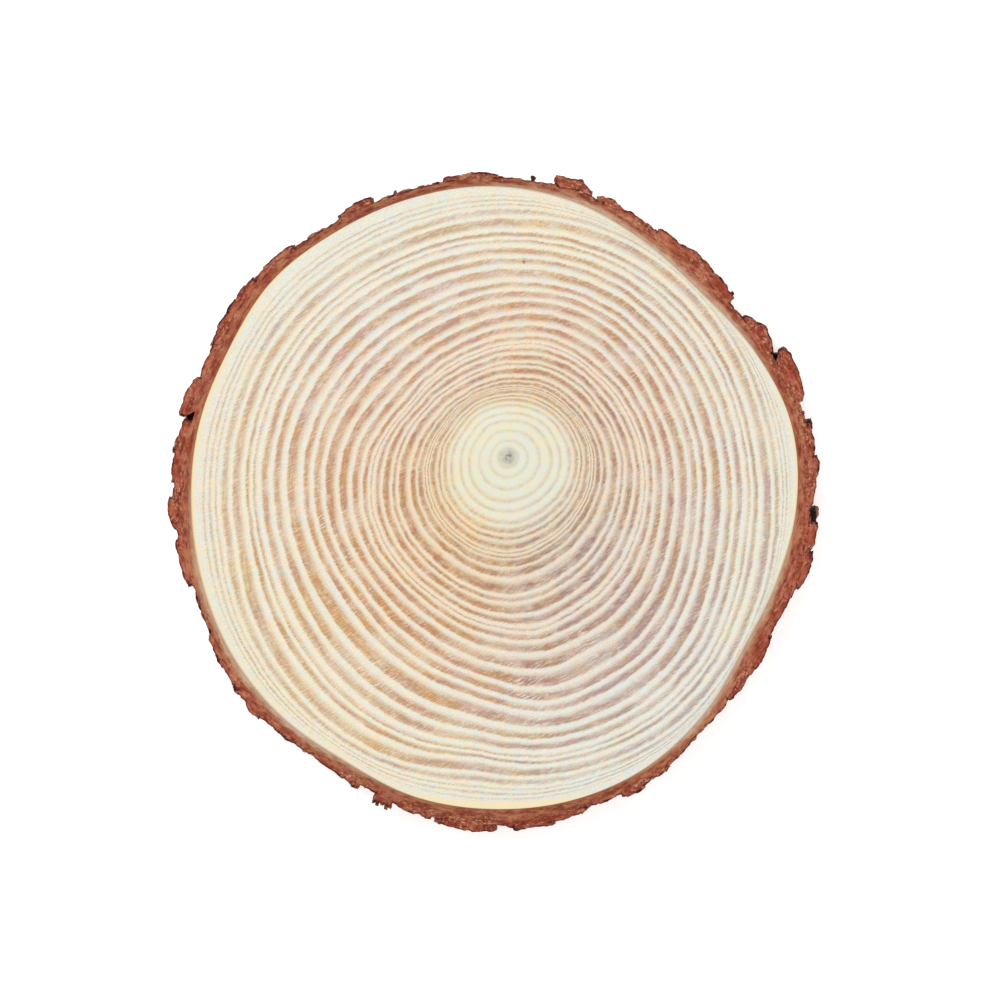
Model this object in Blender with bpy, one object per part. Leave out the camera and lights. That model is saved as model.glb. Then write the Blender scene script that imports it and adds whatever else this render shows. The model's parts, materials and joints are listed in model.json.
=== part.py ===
"""A sawn slice of a pine stem: a disc of wood inside its ring of flaking bark.

Metres, +Z up. The slice lies flat on z = 0, with the middle of its outline on the Z axis.
Angles are in degrees, counter-clockwise from +X, seen from above.
"""

import math
import random
from collections import namedtuple

import bmesh
import bpy

MM = 0.001

THICKNESS = 10.0 * MM
SEAM = 0.3 * MM

# The wood's radius every 15 degrees, starting at +X.
WOOD_RADII_MM = [
    45.9, 46.6, 45.7, 44.8, 45.7, 47.2, 47.9, 47.7,
    47.4, 47.4, 46.3, 46.1, 45.8, 45.8, 45.9, 45.7,
    45.2, 46.1, 46.4, 46.6, 46.3, 45.2, 43.9, 44.6,
]

# The living bark next to the wood, which the dead plates sit on.
INNER_BARK = 1.1 * MM
PLATE_ROOT = 0.5 * MM

# A plate's first and last angle, the bark's depth over the wood in mm at each of the two, and how
# thick the lip is that has come loose at the last angle, or 0 where the plate is stuck down.
Plate = namedtuple("Plate", "first last depth_first depth_last lip")

# The plates that reach the upper face.
UPPER_PLATES = [
    Plate(-1.5, 13.8, 2.5, 2.9, 0.0),
    Plate(11.5, 20.0, 2.3, 2.5, 0.0),
    Plate(18.3, 28.2, 3.1, 4.1, 1.0),
    Plate(23.0, 36.2, 2.5, 2.7, 0.0),
    Plate(32.2, 34.4, 3.9, 3.6, 0.0),
    Plate(35.0, 42.0, 1.7, 2.0, 0.0),
    Plate(40.6, 47.5, 2.7, 3.3, 0.0),
    Plate(46.5, 53.9, 3.6, 3.5, 0.0),
    Plate(52.5, 60.5, 3.0, 2.3, 0.0),
    Plate(59.5, 70.8, 2.2, 2.7, 0.0),
    Plate(69.5, 77.0, 1.6, 1.5, 0.0),
    Plate(73.2, 78.9, 3.3, 2.9, 1.1),
    Plate(76.0, 90.5, 1.5, 1.5, 0.0),
    Plate(89.2, 98.6, 1.8, 2.0, 0.7),
    Plate(108.8, 121.0, 1.5, 1.5, 0.0),
    Plate(112.2, 117.2, 2.4, 2.4, 0.0),
    Plate(119.5, 129.5, 1.3, 1.4, 0.0),
    Plate(128.0, 137.3, 2.0, 2.1, 0.0),
    Plate(137.6, 145.2, 2.6, 2.8, 0.0),
    Plate(144.2, 150.8, 2.5, 2.8, 0.0),
    Plate(149.8, 157.6, 2.3, 1.8, 0.0),
    Plate(157.0, 164.2, 3.2, 3.4, 1.2),
    Plate(164.9, 171.6, 2.2, 3.0, 0.0),
    Plate(170.8, 176.4, 3.1, 2.9, 0.0),
    Plate(175.5, 181.0, 2.5, 2.6, 0.0),
    Plate(179.4, 184.6, 3.4, 2.6, 0.0),
    Plate(183.5, 189.0, 2.1, 2.2, 0.0),
    Plate(187.0, 195.3, 2.5, 2.4, 0.8),
    Plate(194.0, 203.6, 1.4, 1.5, 0.0),
    Plate(204.4, 210.5, 1.8, 1.9, 0.0),
    Plate(209.0, 216.5, 2.0, 2.3, 0.0),
    Plate(215.2, 222.3, 2.4, 2.8, 0.0),
    Plate(221.0, 228.0, 2.3, 2.1, 0.0),
    Plate(227.0, 240.8, 2.1, 2.2, 0.0),
    Plate(239.5, 247.5, 2.2, 1.7, 0.0),
    Plate(247.9, 250.9, 3.1, 3.4, 0.0),
    Plate(251.2, 260.2, 2.2, 2.6, 0.0),
    Plate(259.4, 271.2, 2.8, 3.3, 0.9),
    Plate(266.5, 275.5, 2.3, 2.3, 0.0),
    Plate(273.6, 286.4, 3.4, 2.7, 0.0),
    Plate(284.8, 292.0, 2.2, 1.6, 0.0),
    Plate(290.5, 303.5, 1.8, 2.3, 0.0),
    Plate(302.0, 312.5, 1.9, 1.4, 0.0),
    Plate(311.0, 321.8, 1.5, 2.0, 0.0),
    Plate(320.6, 334.6, 2.5, 3.2, 0.0),
    Plate(333.0, 342.4, 2.6, 3.2, 0.0),
    Plate(341.0, 346.5, 2.8, 2.8, 0.0),
    Plate(344.4, 359.2, 3.8, 3.3, 0.8),
    Plate(350.0, 360.5, 2.2, 2.3, 0.0),
]
LOOSE_FROM = 0.6
UPPER_FOOT = (-1.5 * MM, 6.0 * MM)

# The plates lower down, which stop short of the upper face and stand a little inside the bark
# above them.
LOWER_PLATES = 36
LOWER_WIDTH = (8.0, 15.0)
LOWER_DEPTH_SHARE = (0.72, 0.98)
LOWER_PLACE_DRIFT = 0.25
LOWER_TOP = (2.5 * MM, 8.0 * MM)

# How far the bark runs on past the saw cuts before it is sawn.
PAST_SAW = 2.0 * MM

# Degrees to a column of faces on a plate, and degrees that a plate's side wanders.
PLATE_COLUMN = 2.1
PLATE_ROWS = 4
RAGGED_SIDE = 0.55
RAGGED_END = 0.5 * MM
ROUNDED_CORNER = 1.6 * MM
ROUGHNESS = 0.15 * MM
SHED_RIM = 0.3 * MM

WOOD_SIDES = 180
SLAB_WIDTH = 150.0 * MM
SMOOTH_UNDER = math.radians(30)

SEED = 7

WOOD_COLOUR = (0.83, 0.68, 0.48, 1.0)
BARK_COLOUR = (0.33, 0.11, 0.05, 1.0)


def new_collection(name):
    collection = bpy.data.collections.new(name)
    bpy.context.scene.collection.children.link(collection)
    return collection


def new_material(name, colour, roughness):
    material = bpy.data.materials.new(name)
    material.use_nodes = True
    shader = material.node_tree.nodes["Principled BSDF"]
    shader.inputs["Base Color"].default_value = colour
    shader.inputs["Roughness"].default_value = roughness
    shader.inputs["Metallic"].default_value = 0.0
    return material


def move_to(collection, piece):
    for home in list(piece.users_collection):
        home.objects.unlink(piece)
    collection.objects.link(piece)


def wood_radius(angle):
    """The wood's radius at any angle, on a smooth closed curve through WOOD_RADII_MM."""
    count = len(WOOD_RADII_MM)
    place = (angle % 360.0) / 360.0 * count
    first = int(place)
    share = place - first
    before, here, after, beyond = (WOOD_RADII_MM[(first + step) % count] for step in (-1, 0, 1, 2))
    bend = 2 * before - 5 * here + 4 * after - beyond
    twist = 3 * here - before - 3 * after + beyond
    slope = after - before
    return (here + 0.5 * share * (slope + share * (bend + share * twist))) * MM


def plate_depth(plate, angle):
    """How far an upper plate's outer side lies over the wood."""
    share = (angle - plate.first) / (plate.last - plate.first)
    return (plate.depth_first + share * (plate.depth_last - plate.depth_first)) * MM


def bark_depth(angle):
    """How far the bark reaches over the wood at the upper face."""
    depth = INNER_BARK
    for plate in UPPER_PLATES:
        turned = plate.first + (angle - plate.first) % 360.0
        if turned <= plate.last:
            depth = max(depth, plate_depth(plate, turned))
    return depth


def stem_cylinder(name, low, high, outwards):
    """A cylinder primitive between two heights, shaped to the wood's outline and outwards from it."""
    bpy.ops.mesh.primitive_cylinder_add(
        vertices=WOOD_SIDES, radius=1.0, depth=high - low, end_fill_type="NGON"
    )
    cylinder = bpy.context.object
    cylinder.name = name
    cylinder.data.name = name
    middle = (low + high) / 2
    for vertex in cylinder.data.vertices:
        turn = math.atan2(vertex.co.y, vertex.co.x)
        reach = wood_radius(math.degrees(turn)) + outwards
        vertex.co.x = reach * math.cos(turn)
        vertex.co.y = reach * math.sin(turn)
        vertex.co.z += middle
    return cylinder


def make_wood(collection, material):
    wood = stem_cylinder("wood", 0.0, THICKNESS, 0.0)
    wood.data.materials.append(material)
    wood.data.shade_smooth()
    wood.data.set_sharp_from_angle(angle=SMOOTH_UNDER)
    move_to(collection, wood)


def cut_edges(mesh, axis, cuts):
    """Cuts the edges of a box, one unit long, that run along one axis into equal lengths."""
    along = [
        edge
        for edge in mesh.edges
        if abs(edge.verts[0].co[axis] - edge.verts[1].co[axis]) > 0.5
    ]
    bmesh.ops.subdivide_edges(mesh, edges=along, cuts=cuts, use_grid_fill=True)


def make_plate(collection, name, span, heights, depth_at, lip, rng):
    """One bark plate, bent round the wood: a box with a rough outer side and a ragged rim.

    depth_at gives the depth of the outer side over the wood at an angle. Where lip is not 0, the
    inner side leaves the bark under it at the last angle and stays a lip's thickness inside.
    """
    first, last = span
    low, high = heights
    columns = max(2, round((last - first) / PLATE_COLUMN))
    shape = bmesh.new()
    bmesh.ops.create_cube(shape, size=1.0)
    cut_edges(shape, 0, columns - 1)
    cut_edges(shape, 2, PLATE_ROWS - 1)
    side_shift = {
        (row, side): rng.uniform(-RAGGED_SIDE, RAGGED_SIDE)
        for row in range(PLATE_ROWS + 1)
        for side in (0, columns)
    }
    end_shift = {
        (column, end): rng.uniform(-RAGGED_END, RAGGED_END)
        for column in range(columns + 1)
        for end in (0, PLATE_ROWS)
    }
    for vertex in shape.verts:
        across = 0.5 - vertex.co.x
        up = vertex.co.z + 0.5
        column = round(across * columns)
        row = round(up * PLATE_ROWS)
        angle = first + across * (last - first) + side_shift.get((row, column), 0.0)
        height = low + up * (high - low) + end_shift.get((column, row), 0.0)
        if low > 0.0 or high < THICKNESS:
            free_end = (1 - up) if low > 0.0 else -up
            height += ROUNDED_CORNER * free_end * (2 * across - 1) ** 4
        depth = depth_at(angle)
        if vertex.co.y > 0:
            depth += rng.uniform(-ROUGHNESS, ROUGHNESS)
            if column in (0, columns) or row in (0, PLATE_ROWS):
                depth -= SHED_RIM
        elif lip and across > LOOSE_FROM:
            depth -= lip * MM
        else:
            depth = PLATE_ROOT
        reach = wood_radius(angle) + depth
        turn = math.radians(angle)
        vertex.co = (reach * math.cos(turn), reach * math.sin(turn), height)
    mesh = bpy.data.meshes.new(name)
    shape.to_mesh(mesh)
    shape.free()
    plate = bpy.data.objects.new(name, mesh)
    plate.hide_render = True
    plate.display_type = "WIRE"
    collection.objects.link(plate)


def make_upper_plates(collection, rng):
    for number, plate in enumerate(UPPER_PLATES):
        make_plate(
            collection,
            f"upper_plate_{number}",
            (plate.first, plate.last),
            (rng.uniform(*UPPER_FOOT), THICKNESS + PAST_SAW),
            lambda angle, plate=plate: plate_depth(plate, angle),
            plate.lip,
            rng,
        )


def make_lower_plates(collection, rng):
    """Plates spread evenly round the foot of the bark."""
    pitch = 360.0 / LOWER_PLATES
    least_depth = INNER_BARK + SHED_RIM + ROUGHNESS
    for number in range(LOWER_PLATES):
        middle = (number + rng.uniform(-LOWER_PLACE_DRIFT, LOWER_PLACE_DRIFT)) * pitch
        half = rng.uniform(*LOWER_WIDTH) / 2
        share = rng.uniform(*LOWER_DEPTH_SHARE)
        make_plate(
            collection,
            f"lower_plate_{number}",
            (middle - half, middle + half),
            (-PAST_SAW, rng.uniform(*LOWER_TOP)),
            lambda angle, share=share: max(share * bark_depth(angle), least_depth),
            0.0,
            rng,
        )


def add_boolean(piece, name, operation, operand, solver="EXACT"):
    boolean = piece.modifiers.new(name, "BOOLEAN")
    boolean.operation = operation
    boolean.solver = solver
    if isinstance(operand, bpy.types.Collection):
        boolean.operand_type = "COLLECTION"
        boolean.collection = operand
    else:
        boolean.object = operand


def apply_modifiers(piece):
    graph = bpy.context.evaluated_depsgraph_get()
    mesh = bpy.data.meshes.new_from_object(piece.evaluated_get(graph))
    piece.modifiers.clear()
    piece.data = mesh
    mesh.name = piece.name


def as_cutter(piece, cutters):
    piece.hide_render = True
    piece.display_type = "WIRE"
    move_to(cutters, piece)
    return piece


def make_bark(collection, cutters, material):
    """The inner bark with its plates fused on, bored for the wood and sawn flat above and below."""
    rng = random.Random(SEED)
    plates = new_collection("plates")
    make_upper_plates(plates, rng)
    make_lower_plates(plates, rng)
    bark = stem_cylinder("bark", -PAST_SAW, THICKNESS + PAST_SAW, INNER_BARK)
    move_to(collection, bark)
    add_boolean(bark, "fuse_plates", "UNION", plates, solver="MANIFOLD")
    bore = stem_cylinder("bore", -2 * PAST_SAW, THICKNESS + 2 * PAST_SAW, SEAM)
    add_boolean(bark, "bore", "DIFFERENCE", as_cutter(bore, cutters))
    bpy.ops.mesh.primitive_cube_add(size=1.0, location=(0.0, 0.0, THICKNESS / 2))
    slab = bpy.context.object
    slab.name = "saw_cuts"
    slab.scale = (SLAB_WIDTH, SLAB_WIDTH, THICKNESS)
    add_boolean(bark, "saw_cuts", "INTERSECT", as_cutter(slab, cutters), solver="MANIFOLD")
    apply_modifiers(bark)
    for plate in list(plates.objects):
        bpy.data.objects.remove(plate)
    bpy.data.collections.remove(plates)
    bark.data.materials.clear()
    bark.data.materials.append(material)
    bark.data.shade_smooth()
    bark.data.set_sharp_from_angle(angle=SMOOTH_UNDER)


def main():
    for leftover in list(bpy.data.objects):
        bpy.data.objects.remove(leftover)
    slice_parts = new_collection("wood_slice")
    cutters = new_collection("cutters")
    make_wood(slice_parts, new_material("wood", WOOD_COLOUR, 0.62))
    make_bark(slice_parts, cutters, new_material("bark", BARK_COLOUR, 0.9))


main()
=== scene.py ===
"""The looks of a sawn slice of a pine stem: end grain with its year rings, and a rim of flaking bark.

Metres, +Z up. The slice lies flat on z = 0, with the middle of its outline on the Z axis.
Angles are in degrees, counter-clockwise from +X, seen from above. Colours are written as they look
in the finished picture, 0 to 255.
"""

import json
import math
import random
from collections import namedtuple
from functools import lru_cache, partial

import bmesh
import bpy
import numpy as np
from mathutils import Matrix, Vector, kdtree, noise

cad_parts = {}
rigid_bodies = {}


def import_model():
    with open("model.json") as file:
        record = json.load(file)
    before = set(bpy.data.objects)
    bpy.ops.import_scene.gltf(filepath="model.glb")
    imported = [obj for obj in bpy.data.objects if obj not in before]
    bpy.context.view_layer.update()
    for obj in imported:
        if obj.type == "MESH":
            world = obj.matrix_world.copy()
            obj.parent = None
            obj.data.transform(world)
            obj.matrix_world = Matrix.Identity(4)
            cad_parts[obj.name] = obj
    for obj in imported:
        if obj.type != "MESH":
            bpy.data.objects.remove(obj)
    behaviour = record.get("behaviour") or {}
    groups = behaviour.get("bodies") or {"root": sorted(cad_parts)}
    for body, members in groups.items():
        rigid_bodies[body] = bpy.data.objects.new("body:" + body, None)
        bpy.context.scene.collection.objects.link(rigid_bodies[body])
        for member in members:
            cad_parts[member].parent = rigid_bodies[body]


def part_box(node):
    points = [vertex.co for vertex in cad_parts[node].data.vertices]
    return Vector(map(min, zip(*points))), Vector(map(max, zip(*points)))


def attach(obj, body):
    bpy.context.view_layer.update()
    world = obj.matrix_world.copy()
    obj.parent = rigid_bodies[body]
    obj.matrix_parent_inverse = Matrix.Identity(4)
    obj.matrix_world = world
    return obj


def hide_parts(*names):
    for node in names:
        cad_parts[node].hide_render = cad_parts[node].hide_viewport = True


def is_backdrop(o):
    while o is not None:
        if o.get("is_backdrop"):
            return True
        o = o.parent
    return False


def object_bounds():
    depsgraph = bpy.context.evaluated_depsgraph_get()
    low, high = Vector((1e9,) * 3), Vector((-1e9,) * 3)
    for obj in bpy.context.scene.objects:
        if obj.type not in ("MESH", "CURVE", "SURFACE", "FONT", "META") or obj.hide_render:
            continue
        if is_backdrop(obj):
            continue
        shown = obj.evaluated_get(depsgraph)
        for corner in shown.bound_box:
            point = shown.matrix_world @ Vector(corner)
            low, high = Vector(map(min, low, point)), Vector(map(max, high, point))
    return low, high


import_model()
cad_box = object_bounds()

MM = 0.001
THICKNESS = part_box("wood")[1].z
SEED = 11

# The wood's radius about the middle of the slice every 15 degrees, starting at +X.
WOOD_RADII_MM = [
    45.9, 46.6, 45.7, 44.8, 45.7, 47.2, 47.9, 47.7,
    47.4, 47.4, 46.3, 46.1, 45.8, 45.8, 45.9, 45.7,
    45.2, 46.1, 46.4, 46.6, 46.3, 45.2, 43.9, 44.6,
]

# The pith lies off the middle. The stem grew fastest away from it, and not evenly: the radii of six
# rings from the pith, every 30 degrees, next to each ring's mean radius.
PITH_MM = (2.19, 6.88)
GUIDE_RINGS_MM = [
    (9.2, [9.6, 9.0, 8.5, 8.0, 8.0, 8.0, 8.7, 9.6, 10.2, 10.3, 9.9, 9.8]),
    (16.5, [16.5, 15.1, 14.4, 13.5, 13.0, 13.9, 16.1, 18.3, 19.5, 20.8, 19.4, 17.8]),
    (23.8, [23.4, 21.8, 21.3, 19.9, 18.9, 19.8, 23.4, 25.7, 27.0, 29.7, 29.4, 26.3]),
    (31.2, [29.9, 28.1, 27.5, 26.6, 26.2, 28.0, 30.9, 32.7, 34.8, 38.0, 38.1, 33.6]),
    (37.6, [35.5, 33.7, 32.8, 32.1, 32.6, 34.9, 37.6, 40.1, 43.3, 44.9, 44.3, 39.5]),
    (42.6, [40.2, 38.3, 37.6, 37.1, 37.5, 40.0, 42.6, 46.5, 49.4, 49.4, 48.5, 44.1]),
]
EDGE_MEAN_MM = 45.85

# Places where the rings bend in or out between those directions: the direction from the pith, how far
# the bend spreads to each side, the mean radius of its middle, how far it reaches in and out from
# there, and how far it carries the rings outwards, all in mm but the first two.
Bend = namedtuple("Bend", "direction spread middle reach shift")
BENDS = [
    Bend(263.0, 8.0, 40.0, 5.0, -0.95), Bend(261.0, 9.0, 31.0, 4.0, -0.60),
    Bend(280.0, 9.0, 29.0, 5.0, 0.85), Bend(281.0, 9.0, 20.8, 2.0, 0.45),
    Bend(293.0, 8.0, 25.6, 1.8, -0.35), Bend(221.0, 12.0, 28.0, 4.0, -0.60),
    Bend(198.0, 11.0, 41.5, 3.5, -0.75), Bend(340.0, 14.0, 29.0, 7.0, -0.55),
    Bend(317.0, 10.0, 35.0, 4.0, 0.35), Bend(48.0, 15.0, 21.5, 2.0, -0.40),
    Bend(160.0, 18.0, 20.8, 2.0, -0.45), Bend(20.0, 10.0, 26.5, 2.5, -0.35),
    Bend(77.0, 8.0, 25.5, 2.5, 0.30), Bend(340.0, 12.0, 38.0, 3.0, -0.35),
]

# One year's growth: the mean radius at which it ends in mm, how dark its late wood is, from 0 to 1,
# and the share of the ring's width that is late wood.
Year = namedtuple("Year", "end dark late")
YEARS = [
    Year(1.6, 0.30, 0.30), Year(3.0, 0.45, 0.35), Year(4.7, 0.40, 0.30), Year(6.4, 0.50, 0.32),
    Year(7.7, 0.50, 0.38), Year(9.1, 0.60, 0.40), Year(10.1, 0.60, 0.60), Year(10.8, 0.80, 0.55),
    Year(11.8, 0.90, 0.60), Year(12.2, 0.60, 0.55), Year(12.7, 0.70, 0.60), Year(13.6, 0.90, 0.80),
    Year(14.6, 0.92, 0.72), Year(16.4, 1.00, 0.62), Year(17.3, 0.80, 0.60), Year(18.7, 1.00, 0.68),
    Year(19.9, 0.92, 0.62), Year(20.6, 0.40, 0.50), Year(21.8, 0.88, 0.62), Year(23.4, 0.92, 0.62),
    Year(25.4, 0.95, 0.60), Year(27.6, 0.98, 0.62), Year(29.4, 0.82, 0.60), Year(31.0, 0.90, 0.56),
    Year(33.4, 0.90, 0.58), Year(35.3, 0.88, 0.52), Year(37.1, 0.85, 0.58), Year(38.4, 0.55, 0.45),
    Year(39.6, 0.95, 0.60), Year(41.7, 0.85, 0.58), Year(43.0, 0.75, 0.60), Year(43.6, 0.40, 0.45),
    Year(44.2, 0.62, 0.50), Year(44.8, 0.55, 0.50), Year(EDGE_MEAN_MM, 0.0, 0.30),
]

# The colours of early wood and of the darkest late wood, by mean radius in mm.
Tone = namedtuple("Tone", "at early late")
WOOD_TONES = [
    Tone(0.0, (235, 235, 215), (204, 196, 172)),
    Tone(8.5, (239, 236, 215), (204, 187, 159)),
    Tone(11.0, (238, 222, 195), (180, 149, 119)),
    Tone(16.0, (241, 228, 208), (184, 147, 122)),
    Tone(24.0, (241, 231, 214), (190, 151, 123)),
    Tone(31.0, (240, 235, 221), (193, 157, 130)),
    Tone(36.0, (240, 237, 223), (192, 161, 135)),
    Tone(41.0, (242, 238, 221), (194, 168, 143)),
    Tone(45.0, (238, 235, 220), (184, 173, 156)),
]

# Where the late wood leans to another colour: a direction from the pith, how far it spreads to each
# side, and what it adds to red, green and blue there.
Tint = namedtuple("Tint", "direction spread shift")
TINTS = [
    Tint(135.0, 45.0, (7, 7, 9)),
    Tint(235.0, 42.0, (9, -4, -24)),
    Tint(300.0, 40.0, (-14, -5, 12)),
    Tint(35.0, 40.0, (0, -5, -6)),
    Tint(80.0, 20.0, (7, 1, -8)),
    Tint(180.0, 25.0, (5, -2, -8)),
]
TINT_STARTS_MM = 10.0

# Spots on the sawn face: their place and their reach, in mm. Here the saw left harder marks.
Spot = namedtuple("Spot", "x y reach")
SCUFFS = [
    Spot(4.5, -27.7, 4.0), Spot(7.5, -33.6, 3.5), Spot(-26.1, -2.8, 1.6), Spot(40.9, -5.7, 1.2),
    Spot(-18.0, -26.0, 4.0), Spot(-21.0, -9.0, 3.0), Spot(14.0, -21.0, 4.0),
]

# A dark speck in the wood.
SPECK = Spot(4.6, 36.4, 0.38)
SPECK_COLOUR = (168, 136, 122)

# Where the cambium shows as a bright cream line next to the bark: a direction, how far it spreads to
# each side, and the line's width there.
Cream = namedtuple("Cream", "direction spread width_mm")
CREAM_LINES = [Cream(168.0, 38.0, 0.42), Cream(270.0, 14.0, 0.85), Cream(3.0, 24.0, 0.22)]

# Stretches of the rim, by their middle and by how far they spread to each side: where wood and bark
# go over into each other softly, and where the bark is darker.
Stretch = namedtuple("Stretch", "direction spread")
SOFT_EDGES = [Stretch(60.0, 34.0), Stretch(213.0, 38.0), Stretch(327.0, 29.0)]
DARK_BARK = [Stretch(100.0, 24.0), Stretch(266.0, 32.0)]

# The disc's mesh: rows to a year, columns round, and rows down the side. Its underside has only the
# rows at these shares of a year.
RING_ROWS = 5
RING_COLUMNS = 360
WALL_ROWS = 6
UNDERSIDE_SHARES = (0.0, 0.4)
EDGE_PASSES = 30

# How far late wood stands proud of early wood, and the share of a ring over which it rises.
RELIEF = 0.02 * MM
RELIEF_RISE = 0.3

# Small waves in the rings: how far they reach, and how many broad and fine ones come to a mm. The
# rings lie still at the pith and at the edge.
RING_SWAY = 0.12 * MM
BROAD_WAVES = 0.32
FINE_WAVES = 0.8
WAVE_LEVEL = 3.0
STILL_AT_PITH_MM = 6.0
STILL_AT_EDGE_MM = 2.5

NARROWEST_RING_MM = 0.2
EARLY_TINT_SHARE = 0.3
WOOD_CREASE = 35.0

# The wood's map: how much of the slice it takes in, then the middle and the radius of the disc for
# the upper face, of the disc for the lower face, and the radius and width of the ring for the side.
MAPPED_REACH = 50.0 * MM
UPPER_MAP_MIDDLE, UPPER_MAP_RADIUS = 0.41, 0.40
LOWER_MAP_MIDDLE, LOWER_MAP_RADIUS = 0.83, 0.135
SIDE_MAP_RADIUS, SIDE_MAP_WIDTH = 0.165, 0.02


def closed_curve(radii, degrees):
    """The smooth closed curve through evenly spaced radii, read at an array of angles."""
    radii = np.asarray(radii, float)
    count = len(radii)
    place = np.mod(degrees, 360.0) / 360.0 * count
    first = np.floor(place).astype(int)
    share = place - first
    before, here, after, beyond = (radii[(first + step) % count] for step in (-1, 0, 1, 2))
    bend = 2 * before - 5 * here + 4 * after - beyond
    twist = 3 * here - before - 3 * after + beyond
    slope = after - before
    return here + 0.5 * share * (slope + share * (bend + share * twist))


def wood_radius(degrees):
    return closed_curve(WOOD_RADII_MM, degrees) * MM


def angle_between(degrees, direction):
    return np.mod(degrees - direction + 180.0, 360.0) - 180.0


def linear(colour):
    """A colour from 0 to 255 in a picture, as the amounts of light that a shader takes."""
    shares = np.asarray(colour, float) / 255.0
    low = shares / 12.92
    high = ((np.maximum(shares, 0.04) + 0.055) / 1.055) ** 2.4
    return np.where(shares <= 0.04045, low, high)


def rgba(colour):
    return (*linear(colour), 1.0)


def edge_from_pith(degrees):
    """How far the wood's edge is from the pith along each angle, in mm."""
    turn = np.radians(degrees)
    reach = np.full(len(degrees), EDGE_MEAN_MM)
    for _ in range(EDGE_PASSES):
        x = PITH_MM[0] + reach * np.cos(turn)
        y = PITH_MM[1] + reach * np.sin(turn)
        reach -= np.hypot(x, y) - closed_curve(WOOD_RADII_MM, np.degrees(np.arctan2(y, x)))
    return reach


def bent(means, degrees):
    """How far the bends carry each ring outwards, in mm. The pith and the edge stay put."""
    shift = np.zeros((len(means), len(degrees)))
    for bend in BENDS:
        across = np.exp(-((angle_between(degrees, bend.direction) / bend.spread) ** 2))
        along = np.exp(-(((means - bend.middle) / bend.reach) ** 2))
        shift += bend.shift * along[:, None] * across[None, :]
    return shift * np.clip((EDGE_MEAN_MM - means) / STILL_AT_EDGE_MM, 0.0, 1.0)[:, None]


def ring_radii(means, degrees):
    """The radii from the pith, in mm, of rings of given mean radii: a row for each ring."""
    levels = np.array([0.0] + [mean for mean, _ in GUIDE_RINGS_MM] + [EDGE_MEAN_MM])
    guides = [closed_curve(radii, degrees) for _, radii in GUIDE_RINGS_MM]
    values = np.array([np.zeros(len(degrees)), *guides, edge_from_pith(degrees)])
    slopes = np.gradient(values, levels, axis=0)
    below = np.clip(np.searchsorted(levels, means, side="right") - 1, 0, len(levels) - 2)
    width = (levels[below + 1] - levels[below])[:, None]
    share = (means - levels[below])[:, None] / width
    rise = share * share * (3 - 2 * share)
    leave = share * (1 - share) ** 2 * width
    arrive = -share * share * (1 - share) * width
    smooth = (
        (1 - rise) * values[below]
        + rise * values[below + 1]
        + leave * slopes[below]
        + arrive * slopes[below + 1]
    )
    return smooth + bent(means, degrees)


def sway(radii, degrees):
    """Small waves that neighbouring rings share, in mm, still at the pith and at the edge."""
    out = np.zeros_like(radii)
    turn = np.radians(degrees)
    edge = radii[-1]
    for row, ring in enumerate(radii):
        for column, radius in enumerate(ring):
            edge_calm = (edge[column] - radius) / STILL_AT_EDGE_MM
            calm = min(radius / STILL_AT_PITH_MM, edge_calm, 1.0)
            angle = turn[column]
            spot = Vector((radius * math.cos(angle), radius * math.sin(angle), WAVE_LEVEL))
            waves = noise.noise(spot * BROAD_WAVES) + 0.5 * noise.noise(spot * FINE_WAVES)
            out[row, column] = calm * waves
    return out * RING_SWAY / MM


def new_object(name, mesh):
    made = bpy.data.objects.new(name, mesh)
    bpy.context.scene.collection.objects.link(made)
    return made


def add_values(mesh, name, values):
    values = np.asarray(values, np.float32)
    kind = "FLOAT" if values.ndim == 1 else "FLOAT_COLOR"
    attribute = mesh.attributes.new(name, kind, "POINT")
    if kind == "FLOAT":
        attribute.data.foreach_set("value", values)
    else:
        alpha = np.ones((len(values), 1), np.float32)
        attribute.data.foreach_set("color", np.hstack([values, alpha]).ravel())


def year_rows():
    """The rows of the wood's face, pith to edge: mean radius, year, and place within the year."""
    means, years, shares = [], [], []
    start = 0.0
    for number, year in enumerate(YEARS):
        for step in range(RING_ROWS):
            share = step / RING_ROWS
            means.append(start + share * (year.end - start))
            years.append(number)
            shares.append(share)
        start = year.end
    means.append(start)
    years.append(len(YEARS) - 1)
    shares.append(1.0)
    return np.array(means[1:]), np.array(years[1:]), np.array(shares[1:])


def nearness(degrees, stretch):
    """1 along the middle of a stretch of the rim, 0 outside it."""
    return np.exp(-((angle_between(degrees, stretch.direction) / stretch.spread) ** 4))


def cream_width(degrees):
    """The width of the cream line between wood and bark, in mm, at angles about the middle."""
    return sum(line.width_mm * nearness(degrees, line) for line in CREAM_LINES)


def on_stretches(degrees, stretches):
    """1 along the stretches of the rim, 0 outside them."""
    return np.minimum(sum(nearness(degrees, stretch) for stretch in stretches), 1.0)


def tones_at(means, degrees):
    """Early and late colours for each row and column, 0 to 255."""
    places = [tone.at for tone in WOOD_TONES]
    early, late = (
        np.stack([np.interp(means, places, [tone[part][c] for tone in WOOD_TONES]) for c in range(3)], 1)
        for part in (1, 2)
    )
    shift = np.zeros((len(degrees), 3))
    for tint in TINTS:
        away = angle_between(degrees, tint.direction)
        shift += np.exp(-((away / tint.spread) ** 2))[:, None] * np.array(tint.shift, float)
    grown = np.clip(means / TINT_STARTS_MM, 0.0, 1.0)[:, None, None]
    late = late[:, None, :] + grown * shift[None, :, :]
    early = early[:, None, :] + EARLY_TINT_SHARE * grown * shift[None, :, :]
    return early, late


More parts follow.
